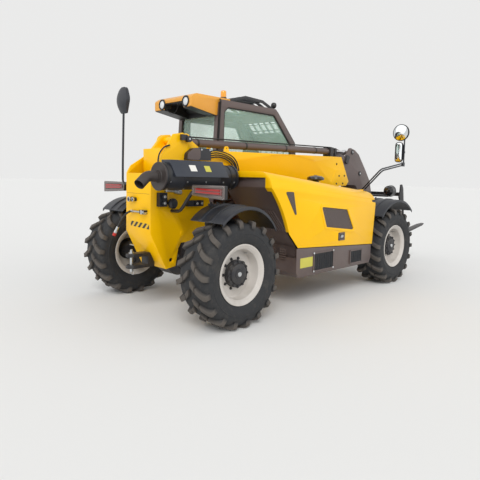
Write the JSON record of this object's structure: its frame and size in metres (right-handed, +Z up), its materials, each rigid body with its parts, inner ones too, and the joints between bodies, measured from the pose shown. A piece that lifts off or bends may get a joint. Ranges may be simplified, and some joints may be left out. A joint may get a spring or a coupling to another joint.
{
  "type": "telehandler",
  "caption": "Rough-terrain telescopic handler with side cab, rear-pivoted boom on pallet forks, four steered wheels and opening hood and door.",
  "frame": {"origin": "centre of the bounding box, on the ground", "axes": "+X forward along the machine, +Y to its left, +Z up"},
  "size_m": [6.4333, 2.29, 2.607],
  "materials": {
    "yellow_paint": "glossy yellow enamel",
    "visor_paint": "ochre yellow enamel",
    "grey_paint": "taupe grey enamel",
    "black_paint": "satin black enamel",
    "chrome_rod": "ground hard chrome",
    "rim_paint": "off-white enamel",
    "tyre_rubber": "matt rubber",
    "black_plastic": "grained moulding",
    "muffler_steel": "heat-proof dark paint",
    "lamp_red": "clear moulded lens",
    "lamp_clear": "clear lens in black housing",
    "lamp_amber": "amber moulded lens",
    "cab_glass": "tinted toughened glass",
    "seat_fabric": "woven dark fabric"
  },
  "bodies": {
    "chassis": {"chassis_frame": "yellow_paint", "hitch": "black_paint", "front_axle": "black_paint", "rear_axle": "black_paint", "engine_skirt": "grey_paint", "arch_panel": "grey_paint", "engine_block": "black_paint", "skirt_grilles": "black_plastic", "muffler": "muffler_steel", "heat_shield": "black_plastic", "road_lights": "lamp_red", "rear_fittings": "black_plastic", "cab_shell": "grey_paint", "cab_glass": "cab_glass", "cab_roof": "visor_paint", "work_lamps": "lamp_clear", "beacon": "lamp_amber", "roof_guard": "black_paint", "seat": "seat_fabric", "steering": "black_plastic", "mirrors": "black_paint", "headlamps": "black_paint", "side_tank": "grey_paint"},
    "cab_door": {"door_frame": "grey_paint", "door_glass": "cab_glass"},
    "hood": {"hood": "yellow_paint", "hood_vents": "black_plastic", "precleaner": "black_plastic"},
    "boom": {"boom_outer": "yellow_paint", "extension_barrel": "grey_paint"},
    "boom_extension": {"boom_inner": "grey_paint", "extension_rod": "chrome_rod"},
    "fork_carriage": {"carriage": "black_paint", "forks": "black_paint"},
    "lift_barrel": {"lift_barrel": "black_paint"},
    "lift_rod": {"lift_rod": "chrome_rod"},
    "tilt_barrel": {"tilt_barrel": "black_paint"},
    "tilt_rod": {"tilt_rod": "chrome_rod"},
    "knuckle_fl": {"knuckle_fl": "black_paint", "fender_fl": "black_plastic"},
    "wheel_fl": {"tyre_fl": "tyre_rubber", "rim_fl": "rim_paint"},
    "knuckle_fr": {"knuckle_fr": "black_paint", "fender_fr": "black_plastic"},
    "wheel_fr": {"tyre_fr": "tyre_rubber", "rim_fr": "rim_paint"},
    "knuckle_rl": {"knuckle_rl": "black_paint", "fender_rl": "black_plastic"},
    "wheel_rl": {"tyre_rl": "tyre_rubber", "rim_rl": "rim_paint"},
    "knuckle_rr": {"knuckle_rr": "black_paint", "fender_rr": "black_plastic"},
    "wheel_rr": {"tyre_rr": "tyre_rubber", "rim_rr": "rim_paint"}
  },
  "joints": [
    {"name": "steer_front_left", "type": "hinge", "parent": "chassis", "child": "knuckle_fl", "pos_m": [0.73116, 0.82, 0.53649], "axis": [0, 0, 1], "range_deg": [-33, 33]},
    {"name": "roll_front_left", "type": "hinge", "parent": "knuckle_fl", "child": "wheel_fl", "pos_m": [0.73116, 0.94, 0.53649], "axis": [0, 1, 0], "continuous": true},
    {"name": "steer_front_right", "type": "hinge", "parent": "chassis", "child": "knuckle_fr", "pos_m": [0.73116, -0.82, 0.53649], "axis": [0, 0, 1], "range_deg": [-33, 33]},
    {"name": "roll_front_right", "type": "hinge", "parent": "knuckle_fr", "child": "wheel_fr", "pos_m": [0.73116, -0.94, 0.53649], "axis": [0, 1, 0], "continuous": true},
    {"name": "steer_rear_left", "type": "hinge", "parent": "chassis", "child": "knuckle_rl", "pos_m": [-2.38884, 0.82, 0.53649], "axis": [0, 0, 1], "range_deg": [-33, 33]},
    {"name": "roll_rear_left", "type": "hinge", "parent": "knuckle_rl", "child": "wheel_rl", "pos_m": [-2.38884, 0.94, 0.53649], "axis": [0, 1, 0], "continuous": true},
    {"name": "steer_rear_right", "type": "hinge", "parent": "chassis", "child": "knuckle_rr", "pos_m": [-2.38884, -0.82, 0.53649], "axis": [0, 0, 1], "range_deg": [-33, 33]},
    {"name": "roll_rear_right", "type": "hinge", "parent": "knuckle_rr", "child": "wheel_rr", "pos_m": [-2.38884, -0.94, 0.53649], "axis": [0, 1, 0], "continuous": true},
    {"name": "boom_lift", "type": "hinge", "parent": "chassis", "child": "boom", "pos_m": [-2.40884, 0, 1.87899], "axis": [0, -1, 0], "range_deg": [-4, 60]},
    {"name": "boom_extend", "type": "slide", "parent": "boom", "child": "boom_extension", "axis": [0.9998, 0, 0.0187], "range_m": [0, 2.6]},
    {"name": "fork_tilt", "type": "hinge", "parent": "boom_extension", "child": "fork_carriage", "pos_m": [1.71116, 0, 0.75899], "axis": [0, -1, 0], "range_deg": [-80, 12]},
    {"name": "lift_barrel_swing", "type": "hinge", "parent": "chassis", "child": "lift_barrel", "pos_m": [-2.44884, 0, 0.85899], "axis": [0, -1, 0], "range_deg": [-3, 39]},
    {"name": "lift_rod_slide", "type": "slide", "parent": "lift_barrel", "child": "lift_rod", "axis": [0.9574, 0, 0.2888], "range_m": [-0.058, 0.86]},
    {"name": "tilt_barrel_swing", "type": "hinge", "parent": "boom_extension", "child": "tilt_barrel", "pos_m": [1.32116, 0, 1.58799], "axis": [0, -1, 0], "range_deg": [-2, 1]},
    {"name": "tilt_rod_slide", "type": "slide", "parent": "tilt_barrel", "child": "tilt_rod", "axis": [0.6395, 0, -0.7688], "range_m": [-0.05, 0.33]},
    {"name": "cab_door_swing", "type": "hinge", "parent": "chassis", "child": "cab_door", "pos_m": [-1.44384, 1.063, 1.49899], "axis": [0, 0, 1], "range_deg": [0, 80]},
    {"name": "hood_lift", "type": "hinge", "parent": "chassis", "child": "hood", "pos_m": [0.20116, -0.67, 1.33699], "axis": [0, 1, 0], "range_deg": [0, 50]}
  ],
  "couplings": [
    {"joint": "steer_front_right", "follows": "steer_front_left", "ratio": 1},
    {"joint": "steer_rear_right", "follows": "steer_rear_left", "ratio": 1},
    {"joint": "lift_barrel_swing", "follows": "boom_lift", "ratio": 0.64},
    {"joint": "lift_rod_slide", "follows": "boom_lift", "m_per_rad": 0.82},
    {"joint": "tilt_barrel_swing", "follows": "fork_tilt", "ratio": 0.02},
    {"joint": "tilt_rod_slide", "follows": "fork_tilt", "m_per_rad": -0.23}
  ]
}
